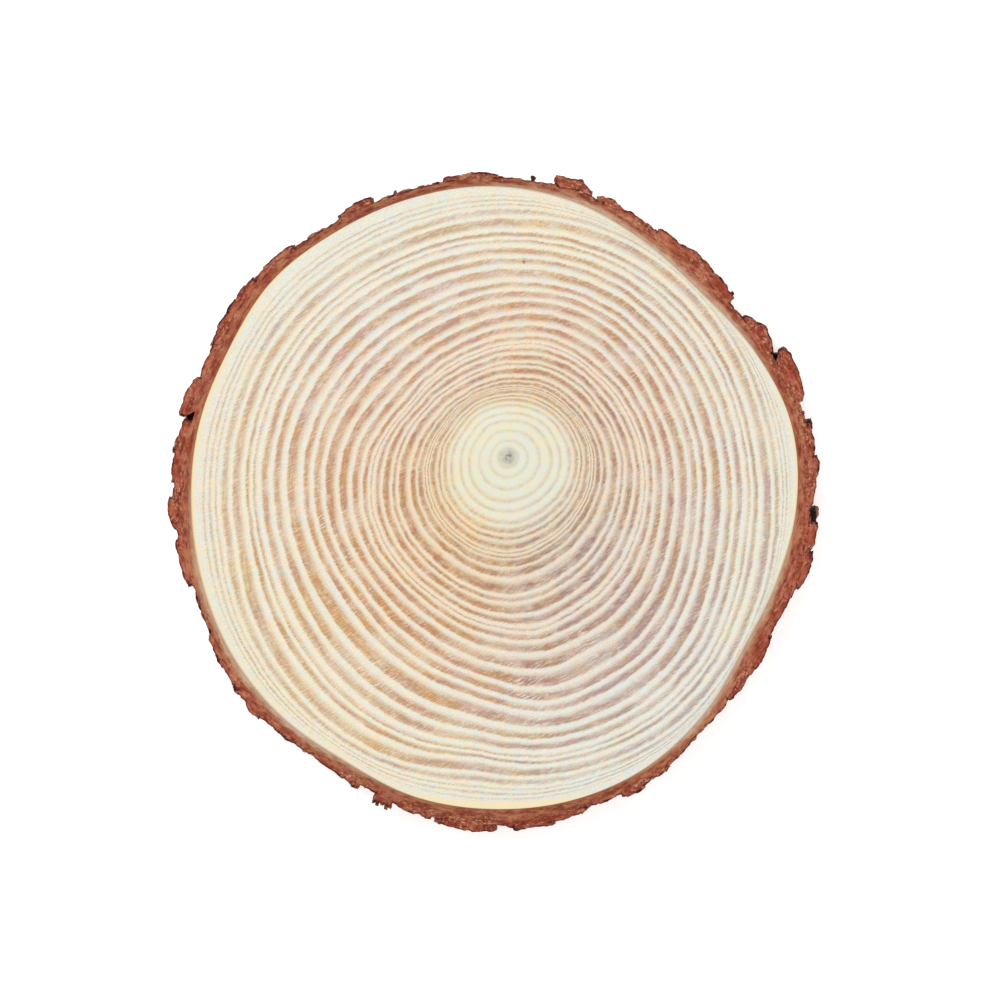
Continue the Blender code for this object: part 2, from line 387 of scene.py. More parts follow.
def wood_mesh():
    """The disc, with a row of points for every fifth of a year, so that its rings are in the mesh."""
    degrees = np.arange(RING_COLUMNS) * 360.0 / RING_COLUMNS
    turn = np.radians(degrees)
    means, years, shares = year_rows()
    radii = ring_radii(means, degrees)
    widths = np.gradient(radii, years + shares, axis=0)
    dark = np.array([year.dark for year in YEARS])[years]
    late_share = np.array([year.late for year in YEARS])[years]
    early, late = tones_at(means, degrees)
    late = early + dark[:, None, None] * (late - early)
    radii = radii + sway(radii, degrees)
    edge_gap = radii[-1][None, :] - radii
    edge_x = PITH_MM[0] + radii[-1] * np.cos(turn)
    edge_y = PITH_MM[1] + radii[-1] * np.sin(turn)
    edge_degrees = np.degrees(np.arctan2(edge_y, edge_x))

    raised = np.clip((shares - (1 - late_share)) / RELIEF_RISE, 0.0, 1.0) * dark
    top = THICKNESS - RELIEF * (1 - raised)
    x = PITH_MM[0] + radii * np.cos(turn)
    y = PITH_MM[1] + radii * np.sin(turn)

    under_rows = [row for row in range(len(means)) if shares[row] in UNDERSIDE_SHARES][::-1]
    wall_heights = np.linspace(THICKNESS, 0.0, WALL_ROWS + 1)[1:]
    rows = list(range(len(means))) + [len(means) - 1] * WALL_ROWS + under_rows
    heights = np.concatenate([top, wall_heights, np.zeros(len(under_rows))])
    points = np.stack([x[rows] * MM, y[rows] * MM, np.repeat(heights[:, None], RING_COLUMNS, 1)], -1)
    centre = np.array([PITH_MM[0] * MM, PITH_MM[1] * MM, 0.0])
    ends = np.array([centre + (0, 0, THICKNESS - RELIEF), centre])
    vertices = np.concatenate([points.reshape(-1, 3), ends])

    columns = np.arange(RING_COLUMNS)
    after = np.roll(columns, -1)
    quads = []
    for row in range(len(rows) - 1):
        here = row * RING_COLUMNS
        there = here + RING_COLUMNS
        quads.append(np.stack([here + columns, there + columns, there + after, here + after], 1))
    last = (len(rows) - 1) * RING_COLUMNS
    above, below = len(vertices) - 2, len(vertices) - 1
    fans = [(above, int(a), int(b)) for a, b in zip(columns, after)]
    fans += [(below, last + int(b), last + int(a)) for a, b in zip(columns, after)]
    mesh = bpy.data.meshes.new("wood_grain")
    mesh.from_pydata(vertices.tolist(), [], np.concatenate(quads).tolist() + fans)
    mesh.validate()

    def spread(values, at_pith):
        """Values by row and column, laid out as the vertices are."""
        laid = np.asarray(values, float)[rows]
        laid = laid.reshape(len(rows) * RING_COLUMNS, *laid.shape[2:])
        ends = np.repeat(np.asarray(at_pith, float)[None], 2, 0)
        return np.concatenate([laid, ends])

    def by_row(values):
        return np.repeat(np.asarray(values, float)[:, None], RING_COLUMNS, 1)

    add_values(mesh, "year", spread(by_row(years + shares), 0.0))
    add_values(mesh, "ring_width", spread(np.maximum(widths, NARROWEST_RING_MM), YEARS[0].end))
    add_values(mesh, "late_from", spread(by_row(1 - late_share), 1 - YEARS[0].late))
    add_values(mesh, "edge_gap", spread(edge_gap, EDGE_MEAN_MM))
    border = {"cream": cream_width(edge_degrees), "soft": on_stretches(edge_degrees, SOFT_EDGES)}
    for name, values in border.items():
        add_values(mesh, name, spread(np.repeat(values[None, :], len(means), 0), 0.0))
    add_values(mesh, "early", spread(linear(early), linear(WOOD_TONES[0].early)))
    add_values(mesh, "late", spread(linear(late), linear(WOOD_TONES[0].late)))
    return mesh


def add_wood_map(mesh):
    """A map that gives most of its room to the upper face, then to the lower face and the side."""
    uv = mesh.uv_layers.new(name="OFBake")
    corners = np.zeros(len(mesh.loops), int)
    mesh.loops.foreach_get("vertex_index", corners)
    points = np.zeros(len(mesh.vertices) * 3)
    mesh.vertices.foreach_get("co", points)
    points = points.reshape(-1, 3)
    normals = np.zeros(len(mesh.polygons) * 3)
    mesh.polygons.foreach_get("normal", normals)
    up = normals.reshape(-1, 3)[:, 2]
    sizes = np.zeros(len(mesh.polygons), int)
    mesh.polygons.foreach_get("loop_total", sizes)
    up = np.repeat(up, sizes)
    place = points[corners]
    flat = place[:, :2] / MAPPED_REACH
    upper = UPPER_MAP_MIDDLE + UPPER_MAP_RADIUS * flat
    lower = LOWER_MAP_MIDDLE + LOWER_MAP_RADIUS * flat * np.array([-1.0, 1.0])
    turn = np.arctan2(place[:, 1], place[:, 0])
    ring = SIDE_MAP_RADIUS - SIDE_MAP_WIDTH * place[:, 2] / THICKNESS
    side = LOWER_MAP_MIDDLE + ring[:, None] * np.stack([-np.cos(turn), np.sin(turn)], 1)
    where = np.where((up > 0.5)[:, None], upper, np.where((up < -0.5)[:, None], lower, side))
    uv.data.foreach_set("uv", where.ravel())


def new_material(name):
    material = bpy.data.materials.new(name)
    material.use_nodes = True
    return material


def add_node(tree, kind, inputs, **settings):
    """Adds a node. An input is a value, or another node's output to link to it."""
    made = tree.nodes.new(kind)
    for setting, value in settings.items():
        setattr(made, setting, value)
    for socket, value in inputs.items():
        if isinstance(value, bpy.types.NodeSocket):
            tree.links.new(value, made.inputs[socket])
        else:
            made.inputs[socket].default_value = value
    return made


def maths(tree, operation, *terms, clamp=False):
    made = add_node(tree, "ShaderNodeMath", dict(enumerate(terms)), operation=operation, use_clamp=clamp)
    return made.outputs[0]


def times(tree, *terms, clamp=False):
    return maths(tree, "MULTIPLY", *terms, clamp=clamp)


def plus(tree, *terms):
    return maths(tree, "ADD", *terms)


def ramp(tree, value, start, end, low=0.0, high=1.0):
    """Goes smoothly from low to high as value goes from start to end."""
    made = add_node(
        tree,
        "ShaderNodeMapRange",
        {"Value": value, "From Min": start, "From Max": end, "To Min": low, "To Max": high},
        interpolation_type="SMOOTHSTEP",
    )
    return made.outputs["Result"]


def blend(tree, factor, first, second, kind="MIX"):
    made = add_node(tree, "ShaderNodeMix", {}, data_type="RGBA", blend_type=kind)
    for socket, value in zip((made.inputs[0], made.inputs[6], made.inputs[7]), (factor, first, second)):
        if isinstance(value, bpy.types.NodeSocket):
            tree.links.new(value, socket)
        else:
            socket.default_value = value
    return made.outputs[2]


def cloud(tree, place, per_metre, detail=2.0, roughness=0.5, stretch=None, turned=0.0):
    """Noise between 0 and 1 about one half, in lumps of 1 / per_metre, stretched along one direction."""
    if stretch:
        spin = add_node(
            tree,
            "ShaderNodeVectorRotate",
            {"Vector": place, "Angle": -math.radians(turned)},
            rotation_type="Z_AXIS",
        )
        scaled = add_node(
            tree, "ShaderNodeVectorMath", {0: spin.outputs[0], 1: stretch}, operation="MULTIPLY"
        )
        place = scaled.outputs[0]
    made = add_node(
        tree,
        "ShaderNodeTexNoise",
        {"Vector": place, "Scale": per_metre, "Detail": detail, "Roughness": roughness},
    )
    return made.outputs[0]


def value_of(tree, name, output="Fac"):
    return add_node(tree, "ShaderNodeAttribute", {}, attribute_name=name).outputs[output]


def vectors(tree, operation, *terms):
    return add_node(tree, "ShaderNodeVectorMath", dict(enumerate(terms)), operation=operation)


def signed(tree, value):
    return maths(tree, "SUBTRACT", value, 0.5)


def between(tree, share, low, high):
    """Goes evenly from low to high as share goes from 0 to 1."""
    return plus(tree, low, times(tree, share, high - low))


# Noise in streaks: how many come to a unit of a vector's x and y, how many to a unit of a value that
# stacks them up, and the noise's detail and roughness. In the wood the vector is the direction from
# the pith, in the bark it is the place in metres.
Streaks = namedtuple("Streaks", "flat lift detail roughness", defaults=(2.0, 0.6))


def streaks(tree, vector, value, kind):
    spread = vectors(tree, "MULTIPLY", vector, (kind.flat, kind.flat, 0.0)).outputs[0]
    lifted = add_node(tree, "ShaderNodeCombineXYZ", {"Z": times(tree, value, kind.lift)})
    where = vectors(tree, "ADD", spread, lifted.outputs[0]).outputs[0]
    return cloud(tree, where, 1.0, detail=kind.detail, roughness=kind.roughness)


# Factors for a colour's red, green and blue: low where a pattern is under start, high over end.
Hues = namedtuple("Hues", "start end low high")


def hued(tree, pattern, hues):
    share = ramp(tree, pattern, hues.start, hues.end)
    return blend(tree, share, (*hues.low, 1.0), (*hues.high, 1.0))


# How strong a bump is, and how high.
Bump = namedtuple("Bump", "strength distance")


def finish_surface(tree, colour, height, bump, roughness, gloss):
    shader = tree.nodes["Principled BSDF"]
    relief = add_node(
        tree,
        "ShaderNodeBump",
        {"Height": height, "Strength": bump.strength, "Distance": bump.distance},
    )
    tree.links.new(colour, shader.inputs["Base Color"])
    tree.links.new(relief.outputs[0], shader.inputs["Normal"])
    tree.links.new(roughness, shader.inputs["Roughness"])
    shader.inputs["Specular IOR Level"].default_value = gloss


# In the wood's looks, lumps of noise are counted to a metre, and a span says where something starts
# and where it is full. Noise lies mostly within NOISE_SPAN.
NOISE_SPAN = (0.3, 0.7)

# The saw's marks, and the core about the pith, where all marks are weaker.
SAW_DIRECTION = 30.0
SAW_LUMPS = 4200
SAW_STRETCH = (0.2, 1.0, 0.4)
CORE_SPAN = (7.0 * MM, 12.0 * MM)
CORE_SHARE = 0.3
SPOT_CORE = 0.3

# Late wood: how far its borders wander, how far the saw frays them at the core and outside it, how
# wide the sharp end of a ring is and what share of the ring it may take, where the colour starts to
# change and where it is full, as shares of a ring from where late wood begins, and the streaks that
# make it weaker and stronger.
WANDER_LUMPS = 900
WANDER_MM = 0.22
FRAY_SPAN = (7.0 * MM, 13.0 * MM)
FRAY_MM = (0.052, 0.26)
RING_END_MM = 0.42
RING_END_SHARE = 0.42
LATE_SPAN = (-0.30, 0.20)
LATE_STREAKS = [(Streaks(4.5, 0.5), (0.62, 1.18)), (Streaks(14.0, 5.0), (0.76, 1.18))]

# Pale strokes of the saw through the late wood, which come and go with broad lumps.
HARD_LUMPS = 190
HARD_SPAN = (0.4, 0.62)
HARD_SHARES = (0.2, 0.65)
STROKE_SPAN = (0.5, 0.66)
STROKE_STRENGTH = 0.55

# The wood's changes of hue: of late and of early wood, of both by lumps, and on the flank where late
# wood starts.
LATE_HUE_STREAKS = Streaks(6.0, 0.8)
LATE_HUES = Hues(0.36, 0.64, (1.0, 0.95, 1.04), (1.055, 1.0, 0.84))
EARLY_HUE_LUMPS = 750
EARLY_HUES = Hues(0.38, 0.62, (0.97, 1.0, 1.05), (1.02, 1.0, 0.92))
LUMP_HUES = [
    (2100, Hues(0.36, 0.64, (1.06, 0.96, 0.98), (0.945, 1.035, 1.02))),
    (480, Hues(0.36, 0.64, (1.02, 0.985, 0.98), (0.98, 1.012, 1.02))),
]
FLANK_HUE = (1.0, 0.97, 0.86, 1.0)
FLANK_STRENGTH = 0.5

# Fine marks in the wood's brightness, with their strength on early and on late wood.
RAYS = Streaks(75.0, 700.0)
RAY_MARKS = (0.10, 0.22)
THREADS = Streaks(9.0, 8.0)
THREAD_MARKS = (0.10, 0.20)
GRAIN_LUMPS = 5000
GRAIN_MARKS = (0.44, 0.86)
SAW_MARKS = (0.12, 0.66)

# The pith's layers of colour: the span of distance over which one fades out and its strength before
# that, and its lumps of noise, with the span over which its strength changes by these shares.
PithLayer = namedtuple("PithLayer", "colour fade strength lumps span shares")
PITH_LAYERS = [
    PithLayer((178, 171, 160), (0.3 * MM, 2.1 * MM), 0.9, 900, (0.3, 0.6), (1.0, 0.6)),
    PithLayer((133, 125, 116), (0.4 * MM, 1.2 * MM), 1.0, 1900, (0.5, 0.62), (0.0, 0.8)),
]

# The wood's edge: the cream line, which is weaker where it is narrow, and a brown line at the bark,
# which is wider and stronger at soft edges.
CAMBIUM = (250, 232, 190)
CREAM_FADE_MM = 0.4
CREAM_FULL_MM = 0.3
CREAM_STRENGTHS = (0.3, 0.95)
BROWN_EDGE = (204, 168, 138)
BROWN_WIDTHS_MM = (0.15, 0.45)
BROWN_STRENGTHS = (0.5, 0.9)

WOOD_BUMP = Bump(0.4, 0.03 * MM)
WOOD_ROUGHNESS = (0.68, 0.56)
WOOD_GLOSS = 0.2


def within(tree, place, spot):
    """1 in the middle of a spot on the sawn face, 0 outside it."""
    middle = (spot.x * MM, spot.y * MM, THICKNESS)
    away = vectors(tree, "DISTANCE", place, middle).outputs["Value"]
    return ramp(tree, away, SPOT_CORE * spot.reach * MM, spot.reach * MM, 1.0, 0.0)


def late_wood(tree, place, direction, away, saw):
    """How late the wood is in its year, from 0 to 1, and how far late wood has set in."""
    width = value_of(tree, "ring_width")
    year = value_of(tree, "year")
    late_from = value_of(tree, "late_from")
    waves = times(tree, signed(tree, cloud(tree, place, WANDER_LUMPS)), WANDER_MM)
    frays = times(tree, signed(tree, saw), ramp(tree, away, *FRAY_SPAN, *FRAY_MM))
    wander = maths(tree, "SUBTRACT", plus(tree, waves, frays), 0.5 * RING_END_MM)
    share = maths(tree, "FRACT", plus(tree, year, maths(tree, "DIVIDE", wander, width)))
    begins, full = (plus(tree, late_from, step) for step in LATE_SPAN)
    end_share = maths(tree, "MINIMUM", maths(tree, "DIVIDE", RING_END_MM, width), RING_END_SHARE)
    ending = maths(tree, "SUBTRACT", 1.0, end_share)
    rising = ramp(tree, share, begins, full)
    late = times(tree, rising, ramp(tree, share, ending, 1.0, 1.0, 0.0))
    patchy = 1.0
    for kind, shares in LATE_STREAKS:
        pattern = ramp(tree, streaks(tree, direction, year, kind), *NOISE_SPAN, *shares)
        patchy = times(tree, patchy, pattern)
    return times(tree, late, patchy, clamp=True), rising


def sawn_through(tree, place, late, saw, outside_core):
    """The late wood with the saw's pale strokes taken out of it."""
    hard = ramp(tree, cloud(tree, place, HARD_LUMPS, detail=1.0), *HARD_SPAN, *HARD_SHARES)
    for scuff in SCUFFS:
        hard = plus(tree, hard, within(tree, place, scuff))
    hard = times(tree, hard, outside_core)
    strokes = times(tree, ramp(tree, saw, *STROKE_SPAN, 0.0, STROKE_STRENGTH), hard)
    return times(tree, late, maths(tree, "SUBTRACT", 1.0, strokes), clamp=True)


def with_hues(tree, place, direction, late, rising, colour):
    hue_streaks = streaks(tree, direction, value_of(tree, "year"), LATE_HUE_STREAKS)
    late_hue = hued(tree, hue_streaks, LATE_HUES)
    early_hue = hued(tree, cloud(tree, place, EARLY_HUE_LUMPS), EARLY_HUES)
    colour = blend(tree, 1.0, colour, blend(tree, late, early_hue, late_hue), "MULTIPLY")
    for lumps, hues in LUMP_HUES:
        colour = blend(tree, 1.0, colour, hued(tree, cloud(tree, place, lumps), hues), "MULTIPLY")
    flank = times(tree, rising, maths(tree, "SUBTRACT", 1.0, late))
    flank = times(tree, flank, FLANK_STRENGTH)
    return blend(tree, flank, colour, FLANK_HUE, "MULTIPLY")


def fine_marks(tree, place, direction, away, late, saw):
    """By how much rays, threads, grain and saw change the wood's brightness."""
    marks = 0.0
    for pattern, strengths in (
        (streaks(tree, direction, away, RAYS), RAY_MARKS),
        (streaks(tree, direction, value_of(tree, "year"), THREADS), THREAD_MARKS),
        (cloud(tree, place, GRAIN_LUMPS), GRAIN_MARKS),
        (saw, SAW_MARKS),
    ):
        strength = ramp(tree, late, 0.0, 1.0, *strengths)
        marks = plus(tree, marks, times(tree, signed(tree, pattern), strength))
    return marks


def with_pith(tree, place, away, colour):
    for layer in PITH_LAYERS:
        near = ramp(tree, away, *layer.fade, layer.strength, 0.0)
        lumps = ramp(tree, cloud(tree, place, layer.lumps), *layer.span, *layer.shares)
        colour = blend(tree, times(tree, near, lumps), colour, rgba(layer.colour))
    return colour


def with_edge(tree, colour):
    """Adds the cream line and the brown line next to the bark."""
    gap = value_of(tree, "edge_gap")
    cream = value_of(tree, "cream")
    near = ramp(tree, gap, cream, plus(tree, cream, CREAM_FADE_MM), 1.0, 0.0)
    line = times(tree, near, ramp(tree, cream, 0.0, CREAM_FULL_MM, *CREAM_STRENGTHS))
    colour = blend(tree, line, colour, rgba(CAMBIUM))
    soft = value_of(tree, "soft")
    at_bark = ramp(tree, gap, 0.0, between(tree, soft, *BROWN_WIDTHS_MM), 1.0, 0.0)
    brown = times(tree, at_bark, ramp(tree, soft, 0.0, 1.0, *BROWN_STRENGTHS))
    return blend(tree, brown, colour, rgba(BROWN_EDGE))


def wood_material():
    material = new_material("wood")
    tree = material.node_tree
    place = add_node(tree, "ShaderNodeTexCoord", {}).outputs["Object"]
    from_pith = vectors(tree, "SUBTRACT", place, (PITH_MM[0] * MM, PITH_MM[1] * MM, 0.0)).outputs[0]
    flat = vectors(tree, "MULTIPLY", from_pith, (1.0, 1.0, 0.0)).outputs[0]
    away = vectors(tree, "LENGTH", flat).outputs["Value"]
    direction = vectors(tree, "NORMALIZE", flat).outputs[0]
    outside_core = ramp(tree, away, *CORE_SPAN, CORE_SHARE, 1.0)
    saw = cloud(tree, place, SAW_LUMPS, detail=3.0, stretch=SAW_STRETCH, turned=SAW_DIRECTION)
    late, rising = late_wood(tree, place, direction, away, saw)
    late = sawn_through(tree, place, late, saw, outside_core)

    colour = blend(tree, late, value_of(tree, "early", "Color"), value_of(tree, "late", "Color"))
    colour = with_hues(tree, place, direction, late, rising, colour)
    marks = times(tree, fine_marks(tree, place, direction, away, late, saw), outside_core)
    colour = blend(tree, 1.0, colour, plus(tree, 1.0, marks), "MULTIPLY")
    colour = blend(tree, within(tree, place, SPECK), colour, rgba(SPECK_COLOUR))
    colour = with_pith(tree, place, away, colour)
    colour = with_edge(tree, colour)
    height = plus(tree, saw, late)
    roughness = ramp(tree, late, 0.0, 1.0, *WOOD_ROUGHNESS)
    finish_surface(tree, colour, height, WOOD_BUMP, roughness, WOOD_GLOSS)
    return material


def make_wood():
    mesh = wood_mesh()
    add_wood_map(mesh)
    mesh.materials.append(wood_material())
    mesh.shade_smooth()
    mesh.set_sharp_from_angle(angle=math.radians(WOOD_CREASE))
    wood = new_object("wood_grain", mesh)
    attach(wood, "root")
    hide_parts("wood")


# The bark. A plate's first and last angle, its depths over the wood in mm, evenly spaced from the
# first angle to the last, and how thick the lip is that has come loose at the last angle, or 0.
Plate = namedtuple("Plate", "first last depths lip", defaults=(0.0,))
UPPER_PLATES = [
    Plate(-1.0, 8.2, (2.5, 2.8, 3.0, 3.2, 3.4)),
    Plate(7.8, 14.4, (2.6, 3.0, 3.0)),
    Plate(11.5, 19.5, (2.3, 2.5)),
    Plate(18.3, 28.1, (3.2, 3.8, 4.1, 4.2, 4.3, 4.3), 0.9),
    Plate(23.0, 29.5, (1.9, 1.7)),
    Plate(28.5, 34.3, (2.7, 3.1, 3.2, 4.0, 3.2)),
    Plate(33.4, 36.6, (3.1, 2.7)),
    Plate(35.0, 42.0, (1.7, 2.0)),
    Plate(40.4, 46.8, (3.0, 3.5, 3.5)),
    Plate(46.3, 53.7, (3.8, 4.1, 4.0, 3.5)),
    Plate(52.6, 58.7, (3.0, 3.2, 3.1)),
    Plate(57.5, 61.0, (2.6, 2.3)),
    Plate(59.5, 71.0, (2.3, 2.5, 2.7, 2.6)),
    Plate(69.5, 77.0, (1.9, 2.0)),
    Plate(72.4, 79.0, (2.5, 3.6, 3.3, 3.0), 1.1),
    Plate(76.0, 90.5, (1.7, 1.5, 1.5)),
    Plate(89.2, 98.8, (1.8, 2.2, 2.0), 0.7),
    Plate(97.0, 109.5, (1.3, 1.3)),
    Plate(108.8, 121.0, (1.5, 1.5)),
    Plate(111.8, 118.4, (2.4, 2.5, 2.1)),
    Plate(119.5, 129.5, (1.3, 1.5)),
    Plate(128.0, 137.3, (2.2, 2.4, 2.4)),
    Plate(137.0, 145.2, (2.9, 3.0)),
    Plate(144.2, 150.8, (2.9, 3.2, 3.1)),
    Plate(149.8, 157.6, (2.5, 2.4)),
    Plate(157.0, 164.3, (3.0, 3.4, 3.7), 1.2),
    Plate(164.9, 171.0, (2.5, 2.9, 3.4)),
    Plate(170.2, 176.2, (3.2, 3.0, 3.2)),
    Plate(175.5, 180.0, (2.7, 2.8)),
    Plate(179.2, 184.8, (3.5, 3.6, 2.8)),
    Plate(183.5, 189.0, (2.4, 2.6)),
    Plate(186.6, 195.3, (2.7, 2.8, 2.5), 0.8),
    Plate(194.0, 203.6, (1.4, 1.4)),
    Plate(203.0, 206.0, (1.2, 1.3)),
    Plate(205.2, 210.5, (2.0, 2.1)),
    Plate(209.5, 216.5, (2.2, 2.5)),
    Plate(215.2, 222.6, (2.5, 2.9)),
    Plate(221.5, 228.5, (2.4, 2.0)),
    Plate(227.0, 240.8, (2.0, 2.1, 2.2)),
    Plate(239.5, 244.5, (2.3, 2.7)),
    Plate(243.5, 248.3, (2.1, 1.8)),
    Plate(248.0, 251.3, (3.2, 3.1, 3.3)),
    Plate(250.5, 258.6, (2.2, 2.5, 2.8)),
    Plate(257.5, 261.0, (2.4, 2.4)),
    Plate(259.6, 270.4, (3.0, 3.6, 3.7, 3.4), 0.9),
    Plate(266.5, 274.2, (2.5, 2.6, 3.0)),
    Plate(273.4, 280.6, (3.4, 3.3, 3.0)),
    Plate(279.5, 286.6, (2.9, 2.7, 2.4)),
    Plate(285.5, 294.5, (2.1, 1.7, 1.9)),
    Plate(293.8, 298.0, (2.5, 2.5)),
    Plate(297.0, 303.6, (2.3, 2.2)),
    Plate(302.0, 312.8, (1.9, 1.3)),
    Plate(312.0, 321.0, (1.3, 1.8, 1.9)),
    Plate(320.0, 334.4, (2.1, 2.8, 3.1, 3.4, 3.2)),
    Plate(333.0, 337.4, (2.6, 2.5)),
    Plate(336.2, 345.2, (2.7, 3.0, 3.0)),
    Plate(344.2, 351.2, (3.6, 4.2, 4.1)),
    Plate(350.0, 356.3, (3.8, 3.8, 3.9, 3.7)),
    Plate(349.5, 361.0, (2.6, 2.4, 2.1)),
]

# Plates that broke off below the sawn face, so that a gap shows there, with painted shade on their tops.
BROKEN_PLATES = [Plate(355.0, 359.3, (3.4, 3.3)), Plate(162.6, 165.4, (2.4, 2.3))]
BROKEN_TOP = (5.5 * MM, 7.0 * MM)

# Splinters of bark seen on edge: their angle, their width in degrees, and their depth over the wood.
Splinter = namedtuple("Splinter", "angle width depth")
SPLINTERS = [
    Splinter(14.6, 0.35, 3.3), Splinter(16.2, 0.30, 2.7), Splinter(83.0, 0.35, 2.2),
    Splinter(107.6, 0.35, 2.0), Splinter(243.6, 0.30, 3.1), Splinter(248.2, 0.35, 3.4),
    Splinter(248.9, 0.30, 3.8), Splinter(249.7, 0.40, 3.2), Splinter(250.6, 0.30, 3.7),
    Splinter(41.2, 0.30, 3.7), Splinter(170.0, 0.30, 3.5), Splinter(228.7, 0.30, 2.4),
]

# The inner bark's thickness, the depth over the wood from which plates start, and the seam there.
INNER_BARK = 1.1 * MM
PLATE_ROOT = 0.5 * MM
SEAM = 0.02 * MM

# Where plates end, as ranges for the seeded draws: the foot of those at the upper face, and the foot
# of a splinter. Below them lie lower plates: their number, width in degrees, share of the depth
# above them, drift from even spacing, and top.
UPPER_FOOT = (-1.5 * MM, 6.0 * MM)
SPLINTER_FOOT = (1.0 * MM, 5.0 * MM)
LOWER_PLATES = 36
LOWER_WIDTH = (8.0, 15.0)
LOWER_DEPTH_SHARE = (0.70, 0.93)
LOWER_PLACE_DRIFT = 0.25
LOWER_TOP = (2.5 * MM, 8.0 * MM)

# How finely the bark is cut up. A column runs round the slice, a row up it, a layer outwards.
BARK_COLUMN = 0.35 * MM
BARK_ROW = 0.95 * MM
BARK_LAYER = 0.5 * MM
LOWER_COLUMN = 0.65 * MM
TUBE_COLUMNS = 540
TUBE_LAYERS = 4
TUBE_HEIGHTS = 7
MEAN_RIM = 48.0 * MM

# A plate's ragged sides and ends, with their knobs to a mm and the parts of the noise that they are
# read from, its rounded corners and shed rim, and the place across it from which a lip is loose.
RAGGED = 0.5 * MM
RAGGED_ENDS = 0.7 * MM
RAGGED_REACH = 1.2 * MM
KNOBS = 0.9
LAYER_JUMP = 1.7
FIRST_SIDE, LAST_SIDE, ENDS = 0.0, 9.0, 20.0
ROUNDED_CORNER = 1.6 * MM
SHED_RIM = 0.12 * MM
SHED_SIDE_REACH = 0.7 * MM
SHED_END_REACH = 1.2 * MM
LOOSE_FROM = 0.7

# The plates' outer surface: swells, knobs and teeth to a mm, how far they reach, and the thin layers
# that the bark has shed.
SWELLS, SMALL_SWELLS, TEETH_PER_MM = 0.9, 2.3, 3.7
ROUGHNESS = 0.14 * MM
TEETH = 0.20 * MM
FLAKE_STEP = 0.26 * MM
FLAKE_LEVELS = 2.4
FLAKE_AREAS, FLAKE_EDGES = 0.42, 1.1
FLAKE_BORDER = 0.16
FLAKE_TONE = 0.37

# The sawn face: how much of that relief its outline has, how much it is drawn in, how uneven it is,
# and where bark crumbles out of it. Plates end at slightly different heights, so that none coincide.
CREST_SHARE = 0.5
OUTLINE_TRIM = 0.06 * MM
SAWN_UNEVEN = 0.03 * MM
UNEVEN_PER_MM = 3.1
CRUMBLE = 0.22 * MM
CRUMBLES_FROM = 1.2
PITS_PER_MM = 2.9
PIT_LEAST = 0.05
HEIGHT_STEP = 0.004 * MM
HEIGHT_STEPS = 3.0

# How deep the painted shade in a seam between two plates goes, how far beside a plate its neighbour
# is looked for, how near the faces a point counts as sawn, and the angle over which edges are sharp.
SEAM_DEPTH = 0.9 * MM
BESIDE = 0.5
CUT_DEPTH = 0.4 * MM
BARK_CREASE = 40.0

# What a plate or splinter is made from: its first and last angle, its lower and upper end, its depth
# over the wood at an angle, the thickness of its loose lip, how much painted shade darkens its top,
# from 0 to 1, and the width of its columns.
Piece = namedtuple(
    "Piece", "name span heights depth_at lip shade column", defaults=(0.0, 0.0, BARK_COLUMN)
)


def plate_depth(plate, degrees):
    share = (degrees - plate.first) / (plate.last - plate.first)
    places = np.linspace(0.0, 1.0, len(plate.depths))
    return np.interp(share, places, plate.depths) * MM


@lru_cache(maxsize=None)
def bark_depth(quarters):
    """How far the bark reaches over the wood at the upper face, at a count of quarter degrees."""
    depth = INNER_BARK
    for plate in UPPER_PLATES:
        turned = plate.first + (quarters / 4 - plate.first) % 360.0
        if turned <= plate.last:
            depth = max(depth, plate_depth(plate, turned))
    return depth


def depth_near(degrees):
    return bark_depth(round(degrees * 4))


def cut_edges(shape, axis, pieces):
    """Cuts the edges of a box, one unit long, that run along one axis into equal lengths."""
    if pieces < 2:
        return
    along = [
        edge
        for edge in shape.edges
        if abs(edge.verts[0].co[axis] - edge.verts[1].co[axis]) > 0.5
    ]
    bmesh.ops.subdivide_edges(shape, edges=along, cuts=pieces - 1, use_grid_fill=True)


def fade(distance, reach):
    """1 at a border, 0 from reach inwards."""
    share = max(0.0, 1.0 - distance / reach)
    return share * share


def rough(spot, seed):
    """The bark's roughness at a spot given in mm: broad swells, smaller knobs and fine teeth."""
    swell = noise.noise(spot * SWELLS + seed) + 0.7 * noise.noise(spot * SMALL_SWELLS)
    return ROUGHNESS * swell + TEETH * noise.noise(spot * TEETH_PER_MM)


def flakes(spot, seed):
    """The bark sheds in thin layers. Gives how many are gone at a spot, and 1 at a layer's border."""
    areas = noise.noise(spot * FLAKE_AREAS + seed) + 0.4 * noise.noise(spot * FLAKE_EDGES)
    worn = FLAKE_LEVELS * (1.0 + areas)
    level = math.floor(worn)
    share = worn - level
    gone = level + min(1.0, max(0.0, (share - 0.5 + FLAKE_BORDER / 2) / FLAKE_BORDER))
    return gone, max(0.0, 1.0 - abs(share - 0.5) / FLAKE_BORDER)


def relief_at(spot, seed):
    """How far the bark stands out at a spot, how many layers are gone, and 1 at a layer's border."""
    gone, flake_edge_shade = flakes(spot, seed)
    return rough(spot, seed) - FLAKE_STEP * (gone - FLAKE_LEVELS), gone, flake_edge_shade


def sawn_height(spot, depth, tone, least):
    """The height of a point on the upper face, with pits where the bark crumbles."""
    crumbly = min(1.0, max(0.0, depth / MM - CRUMBLES_FROM))
    pit = max(0.0, noise.noise(Vector((spot.x, depth / MM, tone)) * PITS_PER_MM) - PIT_LEAST)
    uneven = SAWN_UNEVEN * abs(noise.noise(spot * UNEVEN_PER_MM)) + CRUMBLE * crumbly * pit
    return THICKNESS - least - uneven


